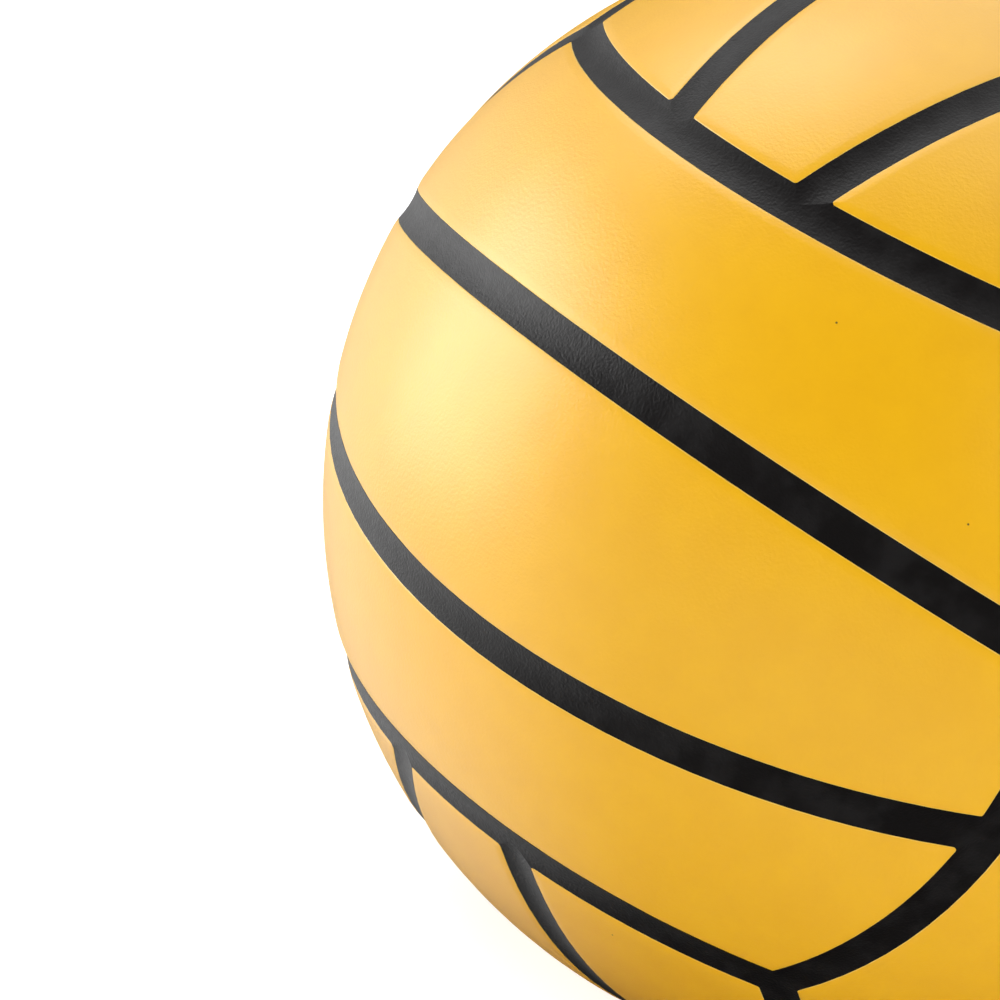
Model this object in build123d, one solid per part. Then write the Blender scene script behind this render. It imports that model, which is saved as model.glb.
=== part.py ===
from build123d import *
from math import acos, asin, cos, degrees, radians, sin, sqrt, tan
import os

os.makedirs("parts", exist_ok=True)

# A moulded water polo ball in millimetres. The origin is the ball's centre and +Z is up.
# Six faces lie on the ball like the sides of a cube, three strips on each. The front face
# looks along -Y, and the valve is in the middle of the back face, on +Y.

# Ball
ball_radius = 110.0

# Layers of the wall, from the outside in
panel_wall = 1.0
carcass_wall = 0.55
winding_wall = 0.45
bladder_wall = 0.65

# Strips and the black channels between them. The strip seams are a junction step shallower
# than the borders, and the dishes in the corners a junction step deeper. The bar of a border
# stops a corner gap, in degrees, short of the corner, and the dish covers its end.
strip_seam_tilt = 14.0
channel_width = 6.9
channel_depth = 0.68
channel_edge_depth = 0.26
junction_step = 0.04
corner_gap = 0.4
corner_dish_ratio = 1.3
panel_corner_radius = 0.7
panel_shoulder_radius = 0.35

# Valve boss: a rubber plug housing that is bonded through the wall
boss_neck_radius = 5.0
boss_face_depth = 0.3
boss_body_radius = 6.5
boss_body_length = 14.0
boss_flange_radius = 16.0
boss_flange_wall = 0.9
boss_tip_radius = 1.5
boss_vent_radius = 0.9

# Valve plug: it pushes into the boss and closes itself behind the needle
plug_shank_radius = 2.3
plug_ring_radius = 2.65
plug_ring_width = 1.4
plug_ring_count = 3
plug_length = 12.0
plug_tip_length = 2.0
plug_head_radius = 3.6
plug_head_wall = 1.2
plug_clearance = 0.05
plug_end_gap = 0.6
needle_bore_radius = 1.15
needle_bore_length = 9.0
needle_funnel_radius = 1.9

# Each ring of the cube's edges is a circle whose plane cuts the ball at this latitude,
# which is the one where the rings of the three directions meet in the cube's corners.
border_latitude = degrees(asin(1 / sqrt(3)))
channel_half_angle = degrees(channel_width / 2 / ball_radius)
strip_seam_offset = ball_radius * sin(radians(channel_half_angle))

carcass_radius = ball_radius - panel_wall
winding_radius = carcass_radius - carcass_wall
bladder_radius = winding_radius - winding_wall
air_radius = bladder_radius - bladder_wall

# Cutters reach this far from the ball's centre, well past its face, so no cut ends on it.
reach = 1.3 * ball_radius

# The carcass is cut from a ball whose face is hidden: it lies half as deep as the channels'
# edges, so the pockets and the channels take all of it away.
carcass_blank_radius = ball_radius - channel_edge_depth / 2

# Edges are told apart by how far their ends lie from the ball's centre, to within this much.
level_tolerance = 0.01


def seam_normal(side):
    """Normal of the plane of a strip seam of a face, leaning to one side of its middle."""
    tilt = radians(strip_seam_tilt)
    return Vector(0, side * cos(tilt), -sin(tilt))


def half_space(normal, offset):
    """Everything beyond a plane that is this far from the ball's centre."""
    plane = Plane(origin=normal * offset, z_dir=normal)
    return plane * Box(4 * reach, 4 * reach, 2 * reach, align=(Align.CENTER, Align.CENTER, Align.MIN))


def centre_cone(half_angle):
    """A cone round +Z with its point in the ball's centre."""
    base = reach * tan(radians(half_angle))
    return Cone(0, base, reach, align=(Align.CENTER, Align.CENTER, Align.MIN))


def hollow_ball(outer, inner):
    return Sphere(outer) - Sphere(inner)


def edges_across_wall(piece):
    """The short edges at a panel's corners, which run from its inner to its outer face."""
    return [e for e in piece.edges() if abs((e @ 0).length - (e @ 1).length) > level_tolerance]


def edges_of_outer_rim(piece):
    """The edges round a panel's outer face: all of each one lies on the ball."""
    start_middle_end = (0, 0.5, 1)
    return [e for e in piece.edges()
            if all(abs((e @ t).length - ball_radius) < level_tolerance for t in start_middle_end)]


def face_blank():
    """The part of the panel layer that the +Z face covers, from end to end of its strips.

    Ball and cone are turned so that the lines where their surfaces close lie off the strips.
    """
    end_angle = 90 - border_latitude - channel_half_angle
    layer = Rot(0, 90, 0) * hollow_ball(ball_radius, carcass_radius)
    return layer & Rot(0, 0, 90) * centre_cone(end_angle)


def middle_strip_blank():
    """The middle strip of the face that looks along +Z, with its strips along X."""
    strip = face_blank()
    for side in (1, -1):
        strip -= half_space(seam_normal(side), -strip_seam_offset)
    return fillet(edges_across_wall(strip), panel_corner_radius)


def outer_strip_blank():
    """The strip beside the middle one, on the +Y side of the same face."""
    border_angle = 90 - border_latitude + channel_half_angle
    strip = face_blank() & half_space(seam_normal(1), strip_seam_offset)
    strip -= Rot(-90, 0, 0) * centre_cone(border_angle)
    return fillet(edges_across_wall(strip), panel_corner_radius)


def bar_radius(depth):
    """Radius of the round bar that presses a channel of this depth into the rubber."""
    hollow = depth - channel_edge_depth
    return ((channel_width / 2) ** 2 + hollow ** 2) / (2 * hollow)


def bent_bar(normal, latitude, middle, half_sweep, depth):
    """The bar for one channel, bent along its seam to both sides of the seam's middle."""
    bar = bar_radius(depth)
    distance = ball_radius - depth + bar
    plane = Plane(origin=normal * distance * sin(radians(latitude)), x_dir=middle, z_dir=normal)
    ring = distance * cos(radians(latitude))
    return plane * Rot(0, 0, -half_sweep) * Torus(ring, bar, major_angle=2 * half_sweep, align=Align.NONE)


def face_channels():
    """The bars for the +Z face: two strip seams and the two borders along its strips."""
    tilt = radians(strip_seam_tilt)
    seam_half_sweep = degrees(acos(sin(radians(border_latitude)) / cos(tilt)))
    seam_depth = channel_depth - junction_step
    border_half_sweep = 45 - corner_gap
    bars = []
    for side in (1, -1):
        seam_middle = Vector(0, side * sin(tilt), cos(tilt))
        bars.append(bent_bar(seam_normal(side), 0, seam_middle, seam_half_sweep, seam_depth))
        border_middle = Vector(0, 0, 1)
        bars.append(bent_bar(Vector(0, side, 0), border_latitude, border_middle, border_half_sweep,
                             channel_depth))
    return bars


def corner_dishes():
    """The eight round dishes where three borders meet."""
    depth = channel_depth + junction_step
    dish = corner_dish_ratio * bar_radius(depth)
    distance = (ball_radius - depth + dish) / sqrt(3)
    return [Pos(x * distance, y * distance, z * distance) * Sphere(dish)
            for x in (1, -1) for y in (1, -1) for z in (1, -1)]


def face_plane(normal, strips):
    """The plane that carries a face of the pattern: its normal, and the way its strips run."""
    return Plane(origin=(0, 0, 0), x_dir=strips, z_dir=normal)


# Name of each face, the way it looks, the way its strips run, and the names of its strips
# from the one at the face plane's +Y side to the one at its -Y side.
faces = (
    ("front", (0, -1, 0), (1, 0, 0), ("upper", "middle", "lower")),
    ("back", (0, 1, 0), (-1, 0, 0), ("upper", "middle", "lower")),
    ("right", (1, 0, 0), (0, 0, -1), ("back", "middle", "front")),
    ("left", (-1, 0, 0), (0, 0, -1), ("front", "middle", "back")),
    ("top", (0, 0, 1), (0, -1, 0), ("right", "middle", "left")),
    ("bottom", (0, 0, -1), (0, 1, 0), ("right", "middle", "left")),
)

# Valve, modelled along +Z from the ball's centre and then turned to +Y
valve_turn = Rot(-90, 0, 0)
boss_face = ball_radius - boss_face_depth
boss_end = air_radius - boss_body_length
plug_seat = boss_face - plug_head_wall
plug_tip = plug_seat - plug_length
socket_radius = plug_ring_radius + plug_clearance
socket_end = plug_tip - plug_end_gap


def upright_cylinder(radius, bottom, top):
    cylinder = Cylinder(radius, top - bottom, align=(Align.CENTER, Align.CENTER, Align.MIN))
    return Pos(0, 0, bottom) * cylinder


def valve_boss():
    """Neck through the wall, flange inside the bladder and a body that holds the plug."""
    neck = upright_cylinder(boss_neck_radius, air_radius - boss_flange_wall, boss_face)
    body = upright_cylinder(boss_body_radius, boss_end, air_radius - boss_flange_wall / 2)
    body = fillet(body.edges().group_by(Axis.Z)[0], boss_tip_radius)
    flange = hollow_ball(air_radius, air_radius - boss_flange_wall)
    flange &= upright_cylinder(boss_flange_radius, 0, reach)
    boss = neck + body + flange
    boss -= upright_cylinder(socket_radius, socket_end, reach)
    boss -= upright_cylinder(plug_head_radius + plug_clearance, plug_seat, reach)
    boss -= upright_cylinder(boss_vent_radius, 0, boss_end + boss_body_length)
    return boss


def valve_plug():
    """Head, ringed shank and tapered tip, with the blind bore that guides the needle."""
    plug = upright_cylinder(plug_head_radius, plug_seat, boss_face)
    shank_end = plug_tip + plug_tip_length
    plug += upright_cylinder(plug_shank_radius, shank_end, plug_seat)
    tip = Cone(plug_shank_radius / 2, plug_shank_radius, plug_tip_length,
               align=(Align.CENTER, Align.CENTER, Align.MIN))
    plug += Pos(0, 0, plug_tip) * tip
    ring_pitch = (plug_seat - shank_end) / plug_ring_count
    for i in range(plug_ring_count):
        ring_middle = shank_end + (i + 0.5) * ring_pitch
        plug += upright_cylinder(plug_ring_radius, ring_middle - plug_ring_width / 2,
                                 ring_middle + plug_ring_width / 2)
    plug -= upright_cylinder(needle_bore_radius, boss_face - needle_bore_length, reach)
    funnel_depth = needle_funnel_radius - needle_bore_radius
    funnel = Cone(needle_bore_radius, needle_funnel_radius, funnel_depth,
                  align=(Align.CENTER, Align.CENTER, Align.MAX))
    return plug - Pos(0, 0, boss_face) * funnel


def write(piece, node):
    piece.label = node
    export_step(piece, "parts/" + node + ".step")


# Panels: two shapes of strip, placed on the six faces. The outer strip turned half round
# its face's normal is the one on the other side of the middle strip.
valve_hole = valve_turn * upright_cylinder(boss_neck_radius, 0, reach)
middle_blank = middle_strip_blank()
outer_blank = outer_strip_blank()
blanks = {}
for face, normal, strips, strip_names in faces:
    place = face_plane(normal, strips)
    blanks[f"{face}_{strip_names[0]}_panel"] = place * outer_blank
    blanks[f"{face}_{strip_names[1]}_panel"] = place * middle_blank
    blanks[f"{face}_{strip_names[2]}_panel"] = place * Rot(0, 0, 180) * outer_blank

for node, blank in blanks.items():
    if node == "back_middle_panel":
        blank = blank - valve_hole
    write(fillet(edges_of_outer_rim(blank), panel_shoulder_radius), node)

# Carcass: one black rubber layer. It lies under the panels and fills the channels.
bars = [face_plane(normal, strips) * bar
        for face, normal, strips, strip_names in faces for bar in face_channels()]
carcass = Sphere(carcass_blank_radius) - list(blanks.values())
carcass -= bars + corner_dishes()
carcass -= Sphere(winding_radius)
write(carcass - valve_hole, "channel_carcass")

# Winding and bladder: two closed hollow balls, open only at the valve
write(hollow_ball(winding_radius, bladder_radius) - valve_hole, "nylon_winding")
write(hollow_ball(bladder_radius, air_radius) - valve_hole, "bladder")

write(valve_turn * valve_boss(), "valve_boss")
write(valve_turn * valve_plug(), "valve_plug")
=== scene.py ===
import math

import bpy
from mathutils import Matrix, Vector, noise


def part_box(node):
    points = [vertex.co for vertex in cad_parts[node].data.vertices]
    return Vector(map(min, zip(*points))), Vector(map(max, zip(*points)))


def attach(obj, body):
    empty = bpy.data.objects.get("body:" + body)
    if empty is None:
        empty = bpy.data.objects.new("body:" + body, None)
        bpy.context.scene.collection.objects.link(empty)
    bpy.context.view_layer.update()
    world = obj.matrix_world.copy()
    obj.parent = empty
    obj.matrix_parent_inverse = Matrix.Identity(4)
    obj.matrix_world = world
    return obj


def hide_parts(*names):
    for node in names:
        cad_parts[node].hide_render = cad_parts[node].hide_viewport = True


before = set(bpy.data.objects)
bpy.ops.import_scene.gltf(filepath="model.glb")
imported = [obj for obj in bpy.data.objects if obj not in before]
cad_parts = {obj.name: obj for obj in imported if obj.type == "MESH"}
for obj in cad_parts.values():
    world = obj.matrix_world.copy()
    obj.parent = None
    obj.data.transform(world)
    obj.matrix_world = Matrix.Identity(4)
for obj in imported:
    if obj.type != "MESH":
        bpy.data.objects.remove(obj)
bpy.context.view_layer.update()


# Bladder: a closed hollow ball of smooth butyl rubber that holds the air. It is dipped or
# moulded in one piece, and the valve boss is bonded to it from inside.
class Wire:
    """One value or colour on its way through a node tree. Arithmetic on it adds Math nodes."""

    def __init__(self, nodes, socket):
        self.nodes = nodes
        self.socket = socket

    def math(self, operation, *others):
        inputs = dict(enumerate((self, *others)))
        return self.nodes.node("Math", {"operation": operation}, inputs)

    def __add__(self, other):
        return self.math("ADD", other)

    def __mul__(self, other):
        return self.math("MULTIPLY", other)

    def __sub__(self, other):
        return self.math("SUBTRACT", other)

    def __rsub__(self, other):
        return self.nodes.node("Math", {"operation": "SUBTRACT"}, {0: other, 1: self})

    __radd__ = __add__
    __rmul__ = __mul__


class Nodes:
    """A node tree that is written as expressions."""

    def __init__(self, tree):
        self.tree = tree

    def feed(self, socket, value):
        if isinstance(value, Wire):
            self.tree.links.new(value.socket, socket)
        else:
            socket.default_value = value

    def node(self, kind, settings, inputs, output=0):
        """Adds a node: its settings first, then the value or wire for each of its sockets."""
        made = self.tree.nodes.new("ShaderNode" + kind)
        for setting, value in settings.items():
            setattr(made, setting, value)
        for socket, value in inputs.items():
            self.feed(made.inputs[socket], value)
        return Wire(self, made.outputs[output])

    def ramp(self, value, low, high):
        """0 where the value is below low, 1 where it is above high, and smooth between."""
        inputs = {"Value": value, "From Min": low, "From Max": high}
        return self.node("MapRange", {"interpolation_type": "SMOOTHSTEP"}, inputs)


class Finish(Nodes):
    """A material of one Principled shader, on coordinates that stay with the piece."""

    def __init__(self, name, **sockets):
        self.material = bpy.data.materials.new(name)
        self.material.use_nodes = True
        super().__init__(self.material.node_tree)
        self.tree.nodes.clear()
        self.shader = self.tree.nodes.new("ShaderNodeBsdfPrincipled")
        output = self.tree.nodes.new("ShaderNodeOutputMaterial")
        self.tree.links.new(self.shader.outputs[0], output.inputs["Surface"])
        self.place = self.node("TexCoord", {}, {}, "Object")
        for socket, value in sockets.items():
            self.set(socket.replace("_", " "), value)

    def set(self, socket, value):
        self.feed(self.shader.inputs[socket], value)

    def noise(self, size, detail=2.0):
        """Soft cloudy noise from 0 to 1 with lumps of this size in metres."""
        return self.node("TexNoise", {}, {"Vector": self.place, "Scale": 1 / size, "Detail": detail})

    def distance(self):
        """How far the place that is shaded lies from the piece's origin."""
        return self.node("VectorMath", {"operation": "LENGTH"}, {0: self.place}, "Value")

    def blend(self, share, first, second):
        """The first colour where share is 0 and the second where it is 1."""
        inputs = {"Factor": share, 6: first, 7: second}
        return self.node("Mix", {"data_type": "RGBA"}, inputs, 2)

    def relief(self, height, depth):
        """Raises the surface by height times depth, in metres, for the light alone."""
        self.set("Normal", self.node("Bump", {}, {"Height": height, "Distance": depth}))


def dress(node, finish):
    """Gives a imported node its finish."""
    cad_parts[node].data.materials.clear()
    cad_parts[node].data.materials.append(finish.material)


butyl_black = (0.028, 0.028, 0.03, 1)
butyl_dusty = (0.075, 0.073, 0.07, 1)
dust_patch_size = 0.02
butyl_grain_size = 0.001
smooth_grain_depth = 0.00002
butyl = Finish("butyl_rubber", Roughness=0.4)
dust = butyl.ramp(butyl.noise(dust_patch_size), low=0.45, high=0.75)
butyl.set("Base Color", butyl.blend(dust, butyl_black, butyl_dusty))
butyl.relief(butyl.noise(butyl_grain_size), smooth_grain_depth)
dress("bladder", butyl)


# Winding: nylon thread run round the bladder along great circles in every direction and set
# in latex. It gives the ball its shape and its even bounce.
thread_colour = (0.78, 0.75, 0.66, 1)
latex_colour = (0.55, 0.47, 0.3, 1)
thread_pitch = 0.0009
thread_relief = 0.0001
lay_directions = ((1, 0, 0), (0, 1, 0), (0, 0, 1), (0.7, 0.7, 0), (0, 0.7, 0.7), (0.7, 0, 0.7))
thread = Finish("nylon_thread", Roughness=0.6)
lays = []
for direction in lay_directions:
    inputs = {0: thread.place, 1: direction}
    across = thread.node("VectorMath", {"operation": "DOT_PRODUCT"}, inputs, "Value")
    wave = (across * (2 * math.pi / thread_pitch)).math("SINE")
    lays.append(wave * 0.5 + 0.5)
threads = lays[0]
for lay in lays[1:]:
    threads = threads.math("MAXIMUM", lay)
bare_thread = thread.ramp(threads, low=0.6, high=0.95)
thread.set("Base Color", thread.blend(bare_thread, latex_colour, thread_colour))
thread.relief(threads, thread_relief)
dress("nylon_winding", thread)


# Carcass: one layer of black rubber moulded over the winding. The panels lie in its pockets,
# and between them it shows as the hollow channels that the mould presses in.
carcass_black = (0.007, 0.006, 0.006, 1)
carcass_bloom = (0.013, 0.012, 0.012, 1)
bloom_patch_size = 0.006
sheen_patch_size = 0.0012
lowest_roughness = 0.34
roughness_spread = 0.16
carcass_grain_size = 0.0005
carcass_grain_depth = 0.0001
black_rubber = Finish("black_carcass_rubber", Specular_IOR_Level=0.25)
bloom = black_rubber.ramp(black_rubber.noise(bloom_patch_size, detail=4), low=0.4, high=0.7)
black_rubber.set("Base Color", black_rubber.blend(bloom, carcass_black, carcass_bloom))
sheen = black_rubber.noise(sheen_patch_size, detail=3)
black_rubber.set("Roughness", sheen * roughness_spread + lowest_roughness)
black_rubber.relief(black_rubber.noise(carcass_grain_size), carcass_grain_depth)
dress("channel_carcass", black_rubber)


# Valve boss: the housing of black rubber that is bonded into the wall, with the plug in its
# bore. It is moulded in one piece with the flange that lies inside the bladder.
boss_mottle_size = 0.002
boss_grain_size = 0.0005
boss_rubber = Finish("valve_boss_rubber", Roughness=0.45)
boss_mottle = boss_rubber.noise(boss_mottle_size)
boss_rubber.set("Base Color", boss_rubber.blend(boss_mottle, carcass_black, carcass_bloom))
boss_rubber.relief(boss_rubber.noise(boss_grain_size), smooth_grain_depth)
dress("valve_boss", boss_rubber)


# Valve plug: the softer core of greyish rubber that the needle goes through. Its rings hold it
# in the boss, and it is pulled out to be changed.
plug_grey = (0.05, 0.05, 0.055, 1)
plug_mottle_size = 0.001
plug_grain_size = 0.0004
plug_rubber = Finish("valve_plug_rubber", Roughness=0.5)
plug_mottle = plug_rubber.noise(plug_mottle_size)
plug_rubber.set("Base Color", plug_rubber.blend(plug_mottle, carcass_black, plug_grey))
plug_rubber.relief(plug_rubber.noise(plug_grain_size), smooth_grain_depth)
dress("valve_plug", plug_rubber)


# Panels: eighteen strips of yellow grip rubber, three on each side of the ball's cube. Each is
# moulded with a fine pebbled face and soft shoulders, and vulcanised into its pocket.
ball_radius = -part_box("front_middle_panel")[0].y
panel_wall = 0.001
strip_seam_tilt = math.radians(14)
border_latitude = math.asin(1 / math.sqrt(3))
channel_width = 0.0069
channel_half_angle = channel_width / 2 / ball_radius
edge_lap = 0.0002
edge_waver = 0.00007
waver_length = 0.009
waver_seed = 1
shoulder_width = 0.002
shoulder_slope = math.tan(math.radians(10))
shoulder_curve = 1.5
lip_radius = 0.00045
corner_reach = 0.0004
corner_roundness = 0.7
crease_angle = math.radians(50)

# The grid's lines lie close together on the lip and the shoulder, and wider further in.
edge_rows_mm = (0, 0.03, 0.08, 0.15, 0.22, 0.3, 0.38, 0.45, 0.6,
                0.85, 1.15, 1.5, 1.8, 2.0, 2.3, 2.8, 3.6, 4.6)
edge_rows = [row / 1000 for row in edge_rows_mm]
inner_cells_along = 44
inner_cells_across = 14
sorting_digits = 5

# Without a seed of its own, the waver would differ from one run to the next.
noise.seed_set(waver_seed)


def drop(distance):
    """How far the panel's face lies below the ball, at this distance from its edge. The shoulder
    bends down to its full slope at the edge, and the lip on it is a quarter round."""
    way_down = max(0.0, 1 - distance / shoulder_width)
    shoulder = shoulder_slope * shoulder_width * way_down ** shoulder_curve / shoulder_curve
    inside = max(0.0, lip_radius - distance)
    return shoulder + lip_radius - math.sqrt(lip_radius ** 2 - inside ** 2)


def rounded(first, second):
    """Moves a point that is near two edges, so that the corner between them is round."""
    if max(first, second) >= corner_reach:
        return first, second
    u = 1 - first / corner_reach
    v = 1 - second / corner_reach
    pull_u = math.sqrt(1 - corner_roundness * v * v / 2)
    pull_v = math.sqrt(1 - corner_roundness * u * u / 2)
    return corner_reach * (1 - u * pull_u), corner_reach * (1 - v * pull_v)


def inset_plane(edge, distance):
    """The plane that cuts the ball this far inside one edge of a panel. The edge itself laps
    the black rubber a little, which hides the foot of the lip."""
    normal, angle = edge
    return Vector(normal), math.sin(angle + (distance - edge_lap) / ball_radius)


def crossing(first, second, side):
    """Where two cutting planes meet on the ball of radius 1, on one side along the strips."""
    (n1, c1), (n2, c2) = first, second
    cosine = n1.dot(n2)
    share = 1 - cosine * cosine
    middle = (c1 - c2 * cosine) / share * n1 + (c2 - c1 * cosine) / share * n2
    line = n1.cross(n2).normalized()
    if line.x * side < 0:
        line.negate()
    return middle + line * math.sqrt(1 - middle.length_squared)


def grid_lines(inner_cells):
    """For each line of the grid: its side, its distance from that side's edge, and its share
    of the way between the innermost lines of the two sides."""
    lines = [(-1, distance, 0.0) for distance in edge_rows]
    lines += [(0, edge_rows[-1], i / inner_cells) for i in range(1, inner_cells)]
    lines += [(1, distance, 1.0) for distance in reversed(edge_rows)]
    return lines


lines_along = grid_lines(inner_cells_along)
lines_across = grid_lines(inner_cells_across)
end_edge = ((0, 0, 1), border_latitude + channel_half_angle)


def row_plane(low_edge, high_edge, side, distance, share):
    """The cutting plane of a line along the strip: beside one of the long edges, or in the fan
    of planes between them."""
    low_normal, low_offset = inset_plane(low_edge, distance)
    high_normal, high_offset = inset_plane(high_edge, distance)
    if side < 0:
        return low_normal, low_offset
    if side > 0:
        return high_normal, high_offset
    normal = low_normal * (1 - share) - high_normal * share
    offset = low_offset * (1 - share) - high_offset * share
    return normal.normalized(), offset / normal.length


def spot_on_row(row, cut, end, share):
    """A point of the grid on the ball of radius 1: where a line along the strip meets the cut
    beside an end, or at its share of the arc from end to end."""
    if end:
        return crossing(row, cut, end)
    centre = row[0] * row[1]
    start = crossing(row, cut, -1) - centre
    finish = crossing(row, cut, 1) - centre
    angle = start.angle(finish)
    turned = start * math.sin((1 - share) * angle) + finish * math.sin(share * angle)
    return centre + turned / math.sin(angle)


def wavered(spot, distance):
    """The point moved a little to and fro, most at the panel's edge and not at all inside."""
    fading = edge_waver / ball_radius * max(0.0, 1 - distance / edge_rows[-1])
    return (spot + noise.noise_vector(spot * ball_radius / waver_length) * fading).normalized()


def strip_places(low_edge, high_edge):
    """The grid's points, row by row: each on the ball of radius 1, with its distance from the
    nearest edge of the strip."""
    places = []
    for side, side_distance, side_share in lines_across:
        for end, end_distance, end_share in lines_along:
            from_end, from_side = rounded(end_distance, side_distance)
            row = row_plane(low_edge, high_edge, side, from_side, side_share)
            spot = spot_on_row(row, inset_plane(end_edge, from_end), end, end_share)
            nearest = min(end_distance, side_distance)
            places.append((wavered(spot, nearest), nearest))
    return places


def row_by_row(vertex):
    """Sorts the points of a new flat grid as strip_places lists them."""
    return round(vertex.co.y, sorting_digits), round(vertex.co.x, sorting_digits)


def strip_mesh(name, low_edge, high_edge):
    """A strip of the face that looks along +Z, with its length along X. Its grid lies on the
    carcass first, and the copy that is extruded from it is lifted to the panel's face."""
    bpy.ops.object.select_all(action="DESELECT")
    bpy.ops.mesh.primitive_grid_add(
        x_subdivisions=len(lines_along) - 1, y_subdivisions=len(lines_across) - 1)
    panel = bpy.context.object
    panel.name = name
    mesh = panel.data
    edge_distances = mesh.attributes.new("edge_distance", "FLOAT", "POINT")
    flat_grid = sorted(mesh.vertices, key=row_by_row)
    for vertex, (spot, nearest) in zip(flat_grid, strip_places(low_edge, high_edge)):
        vertex.co = spot * (ball_radius - panel_wall)
        edge_distances.data[vertex.index].value = nearest
    bpy.ops.object.mode_set(mode="EDIT")
    bpy.ops.mesh.select_all(action="SELECT")
    bpy.ops.mesh.extrude_region_move()
    bpy.ops.object.mode_set(mode="OBJECT")
    edge_distances = mesh.attributes["edge_distance"]
    for vertex in mesh.vertices:
        if vertex.select:
            face_radius = ball_radius - drop(edge_distances.data[vertex.index].value)
            vertex.co = vertex.co.normalized() * face_radius
    bpy.ops.object.mode_set(mode="EDIT")
    bpy.ops.mesh.select_all(action="SELECT")
    bpy.ops.mesh.normals_make_consistent(inside=False)
    bpy.ops.object.mode_set(mode="OBJECT")
    bpy.ops.object.shade_smooth_by_angle(angle=crease_angle)
    return panel


mouth_radius = 0.00505
mouth_lip_radius = 0.0004
mouth_lip_steps = 6
mouth_sides = 96
mouth_cutter_depth = 0.003
mouth_cutter_rise = 0.001
top_face_normal = 0.9


def mouth_rings(lip_start):
    """Radius and height of each ring of the mouth's cutter above its shaft: round the lip,
    and then straight up past the ball."""
    rings = []
    for i in range(1, mouth_lip_steps + 1):
        turn = math.pi / 2 * i / mouth_lip_steps
        ring_radius = mouth_radius + mouth_lip_radius * (1 - math.cos(turn))
        rings.append((ring_radius, lip_start + mouth_lip_radius * math.sin(turn)))
    rings.append((rings[-1][0], ball_radius + mouth_cutter_rise))
    return rings


def bore_mouth(panel):
    """Cuts the round mouth for the valve boss through the middle of a strip, with a soft lip."""
    rim_height = math.sqrt(ball_radius ** 2 - mouth_radius ** 2)
    lip_start = rim_height - mouth_lip_radius
    shaft_end = ball_radius - mouth_cutter_depth
    bpy.ops.object.select_all(action="DESELECT")
    bpy.ops.mesh.primitive_cylinder_add(
        vertices=mouth_sides, radius=mouth_radius, depth=lip_start - shaft_end,
        location=(0, 0, (lip_start + shaft_end) / 2))
    bpy.ops.object.transform_apply(location=True)
    cutter = bpy.context.object
    bpy.ops.object.mode_set(mode="EDIT")
    bpy.ops.mesh.select_mode(type="FACE")
    bpy.ops.mesh.select_all(action="DESELECT")
    bpy.ops.object.mode_set(mode="OBJECT")
    for face in cutter.data.polygons:
        face.select = face.normal.z > top_face_normal
    bpy.ops.object.mode_set(mode="EDIT")
    radius, height = mouth_radius, lip_start
    for next_radius, next_height in mouth_rings(lip_start):
        rise = (0, 0, next_height - height)
        bpy.ops.mesh.extrude_region_move(TRANSFORM_OT_translate={"value": rise})
        growth = next_radius / radius
        bpy.ops.transform.resize(value=(growth, growth, 1), center_override=(0, 0, next_height))
        radius, height = next_radius, next_height
    bpy.ops.object.mode_set(mode="OBJECT")
    cut = panel.modifiers.new("mouth", "BOOLEAN")
    cut.operation = "DIFFERENCE"
    cut.solver = "EXACT"
    cut.object = cutter
    bpy.ops.object.select_all(action="DESELECT")
    panel.select_set(True)
    bpy.context.view_layer.objects.active = panel
    bpy.ops.object.modifier_apply(modifier=cut.name)
    bpy.ops.object.shade_smooth_by_angle(angle=crease_angle)
    bpy.data.objects.remove(cutter)


cover_yellow = (0.87, 0.46, 0.003, 1)
cover_deep = (0.85, 0.44, 0.003, 1)
lip_painted_highlight = (0.92, 0.62, 0.12, 1)
speck_brown = (0.09, 0.05, 0.02, 1)
cloud_size = 0.008
lip_highlight_from = 0.00017
lip_highlight_to = 0.00024
speck_spacing = 0.011
speck_radius = 0.00013
pebble_size = 0.0006
pebble_height = 0.000045
yellow_rubber = Finish("yellow_cover_rubber", Roughness=0.37, Specular_IOR_Level=1.0)
clouds = yellow_rubber.ramp(yellow_rubber.noise(cloud_size, detail=4), low=0.3, high=0.7)
cover_colour = yellow_rubber.blend(clouds, cover_yellow, cover_deep)
below_ball = ball_radius - yellow_rubber.distance()
# Painted highlight: the panel's lip is painted a paler cream where it rounds down into the channel,
# in place of the light it catches.
lip = yellow_rubber.ramp(below_ball, lip_highlight_from, lip_highlight_to)
cover_colour = yellow_rubber.blend(lip, cover_colour, lip_painted_highlight)
speck_inputs = {"Vector": yellow_rubber.place, "Scale": 1 / speck_spacing}
nearest_speck = yellow_rubber.node("TexVoronoi", {}, speck_inputs, "Distance")
speck_edge = speck_radius / speck_spacing
specks = 1 - yellow_rubber.ramp(nearest_speck, speck_edge, 2 * speck_edge)
yellow_rubber.set("Base Color", yellow_rubber.blend(specks, cover_colour, speck_brown))
yellow_rubber.relief(yellow_rubber.noise(pebble_size), pebble_height)

tilt_cosine = math.cos(strip_seam_tilt)
tilt_sine = math.sin(strip_seam_tilt)
high_seam = ((0, -tilt_cosine, tilt_sine), channel_half_angle)
low_seam = ((0, tilt_cosine, tilt_sine), channel_half_angle)
outer_seam = ((0, tilt_cosine, -tilt_sine), channel_half_angle)
border = ((0, -1, 0), channel_half_angle - border_latitude)
outer_strip = strip_mesh("outer_strip", outer_seam, border)
middle_strip = strip_mesh("middle_strip", low_seam, high_seam)
valve_strip = strip_mesh("valve_strip", low_seam, high_seam)
bore_mouth(valve_strip)

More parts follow.
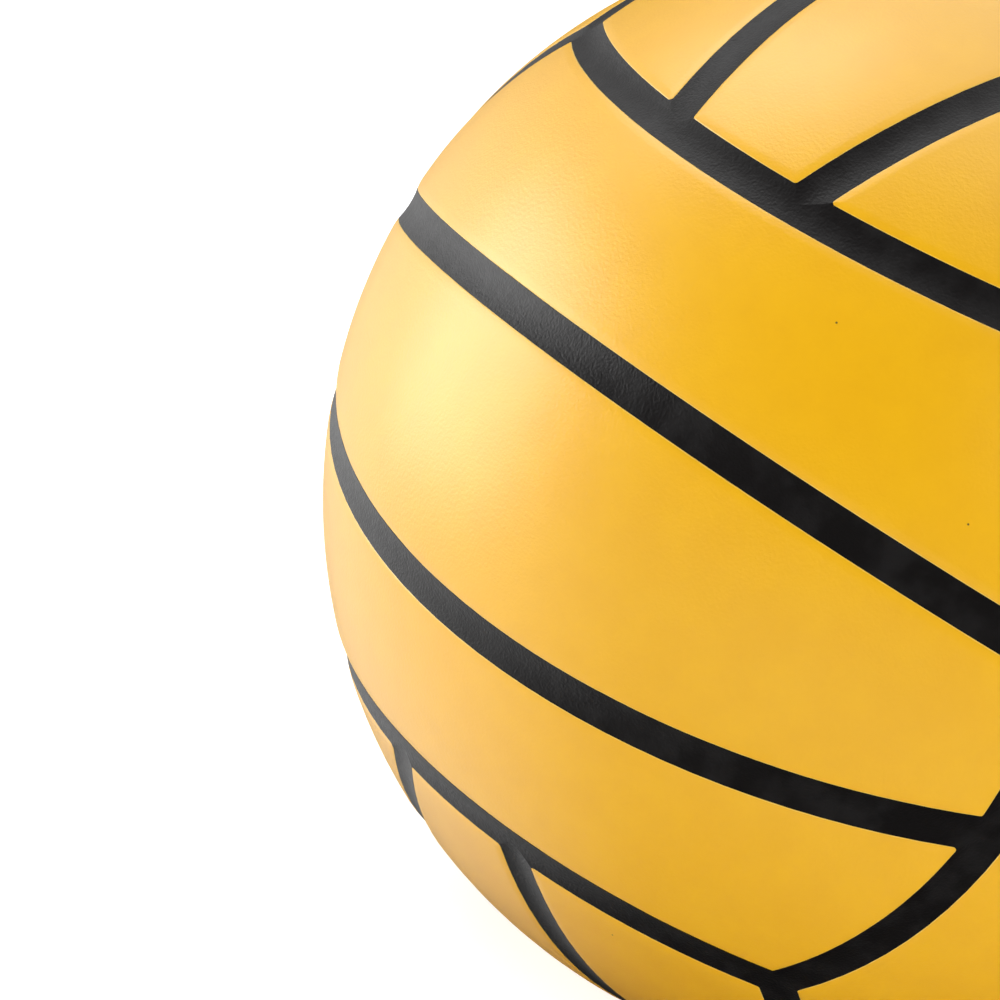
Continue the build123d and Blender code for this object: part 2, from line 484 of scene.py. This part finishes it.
# Name of each face, the way it looks, the way its strips run, and the names of its strips.
faces = (
    ("front", (0, -1, 0), (1, 0, 0), ("upper", "middle", "lower")),
    ("back", (0, 1, 0), (-1, 0, 0), ("upper", "middle", "lower")),
    ("right", (1, 0, 0), (0, 0, -1), ("back", "middle", "front")),
    ("left", (-1, 0, 0), (0, 0, -1), ("front", "middle", "back")),
    ("top", (0, 0, 1), (0, -1, 0), ("right", "middle", "left")),
    ("bottom", (0, 0, -1), (0, 1, 0), ("right", "middle", "left")),
)
half_turn = Matrix.Rotation(math.pi, 4, "Z")
for face, normal, strip_way, strip_names in faces:
    normal, strip_way = Vector(normal), Vector(strip_way)
    place = Matrix((strip_way, normal.cross(strip_way), normal)).transposed().to_4x4()
    middle = valve_strip if face == "back" else middle_strip
    for strip, source in zip(strip_names, (outer_strip, middle, outer_strip)):
        mesh = source.data.copy()
        if strip == strip_names[-1]:
            mesh.transform(half_turn)
        mesh.transform(place)
        mesh.materials.append(yellow_rubber.material)
        panel = bpy.data.objects.new(f"{face}_{strip}_strip", mesh)
        bpy.context.scene.collection.objects.link(panel)
        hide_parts(f"{face}_{strip}_panel")
        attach(panel, "ball")
for source in (outer_strip, middle_strip, valve_strip):
    bpy.data.objects.remove(source)


# Floor: plain white paper that the ball stands on, and no part of the ball. It glows white for
# the camera alone, and less near the ball, so that it keeps the ball's shadow.
white = (1, 1, 1, 1)
paper_white = (0.9, 0.9, 0.9, 1)
floor_size = 8.0
shadow_reach = 0.25
white_reach = 1.0
glow_near_ball = 0.75
glow_far_off = 1.0
floor_finish = Finish("floor_paper", Roughness=0.9)
floor_finish.set("Base Color", paper_white)
floor_finish.set("Emission Color", white)
far_off = floor_finish.ramp(floor_finish.distance(), shadow_reach, white_reach)
glow = far_off * (glow_far_off - glow_near_ball) + glow_near_ball
seen_directly = floor_finish.node("LightPath", {}, {}, "Is Camera Ray")
floor_finish.set("Emission Strength", glow * seen_directly)
bpy.ops.mesh.primitive_plane_add(size=floor_size, location=(0, 0, -ball_radius))
floor = bpy.context.object
floor.name = "floor"
floor.data.materials.append(floor_finish.material)
floor.visible_glossy = False


# Camera: it looks down a little on the ball from its front right side, and is rolled. Its
# place, turn and lens were fitted to the outline and the seams of the real ball's picture.
camera_spot = Vector((0.34145, -0.52703, 0.18192))
camera_heading = math.radians(39.278)
camera_dip = math.radians(18.890)
camera_roll = math.radians(23.309)
camera_lens = 119.77
camera_sensor = 36.0
camera_clip = 0.01
camera_turn = (Matrix.Rotation(camera_heading, 3, "Z")
               @ Matrix.Rotation(math.pi / 2 - camera_dip, 3, "X")
               @ Matrix.Rotation(camera_roll, 3, "Z"))
camera_data = bpy.data.cameras.new("camera")
camera_data.lens = camera_lens
camera_data.sensor_width = camera_sensor
camera_data.clip_start = camera_clip
camera = bpy.data.objects.new("camera", camera_data)
bpy.context.scene.collection.objects.link(camera)
bpy.context.scene.camera = camera
camera.matrix_world = Matrix.Translation(camera_spot) @ camera_turn.to_4x4()


# Air: the room round the ball, which the camera sees white. Its light comes softly from the
# left and from above, as from large pale walls.
room_level = 0.02
world = bpy.data.worlds.new("studio_air")
bpy.context.scene.world = world
world.use_nodes = True
air = Nodes(world.node_tree)
background = world.node_tree.nodes["Background"]
air.feed(background.inputs["Color"], white)
looking = air.node("TexCoord", {}, {}, "Generated")


def glow_from(direction, edge, strength):
    """Light that fades out round a direction given as the camera sees it, like a soft box."""
    middle = camera_turn @ Vector(direction).normalized()
    towards = air.node("VectorMath", {"operation": "DOT_PRODUCT"}, {0: looking, 1: middle}, "Value")
    return air.ramp(towards, edge, 1.0) * strength


left_glow = glow_from((-0.87, 0.05, -0.45), edge=0.47, strength=2.0)
top_glow = glow_from((0.38, 0.89, -0.22), edge=0.55, strength=1.45)
air_level = left_glow + top_glow + room_level
seen_by_camera = air.node("LightPath", {}, {}, "Is Camera Ray")
air.feed(background.inputs["Strength"], air_level.math("MAXIMUM", seen_by_camera))


# Soft boxes: square lamps to the left, above, and to the right beside the camera, which show in
# the gloss, and two fills by the camera and low on the right, which don't.
def soft_box(name, direction, distance, width, radiance, glossy=True):
    """A square lamp that looks at the ball from a direction given as the camera sees it:
    to its right, up, and towards it."""
    lamp = bpy.data.lights.new(name, "AREA")
    lamp.shape = "SQUARE"
    lamp.size = width
    lamp.energy = radiance * math.pi * width * width
    lamp.cycles.use_multiple_importance_sampling = glossy
    holder = bpy.data.objects.new(name, lamp)
    bpy.context.scene.collection.objects.link(holder)
    holder.location = camera_turn @ Vector(direction).normalized() * distance
    holder.rotation_euler = (-holder.location).to_track_quat("-Z", "Y").to_euler()
    holder.visible_glossy = glossy
    holder.visible_camera = False


soft_box("left_soft_box", (-0.90, 0.34, -0.06), distance=1.1, width=0.78, radiance=3.75)
soft_box("top_soft_box", (-0.30, 0.94, 0.0), distance=1.1, width=0.60, radiance=2.4)
soft_box("right_soft_box", (0.46, 0.17, 0.87), distance=1.1, width=0.4, radiance=0.9)
soft_box("camera_fill", (0.15, -0.05, 1.0), distance=1.6, width=1.6, radiance=2.65, glossy=False)
soft_box("lower_fill", (0.84, -0.48, -0.1), distance=1.1, width=0.7, radiance=5, glossy=False)


# Colours show as they are lit.
bpy.context.scene.view_settings.view_transform = "Standard"
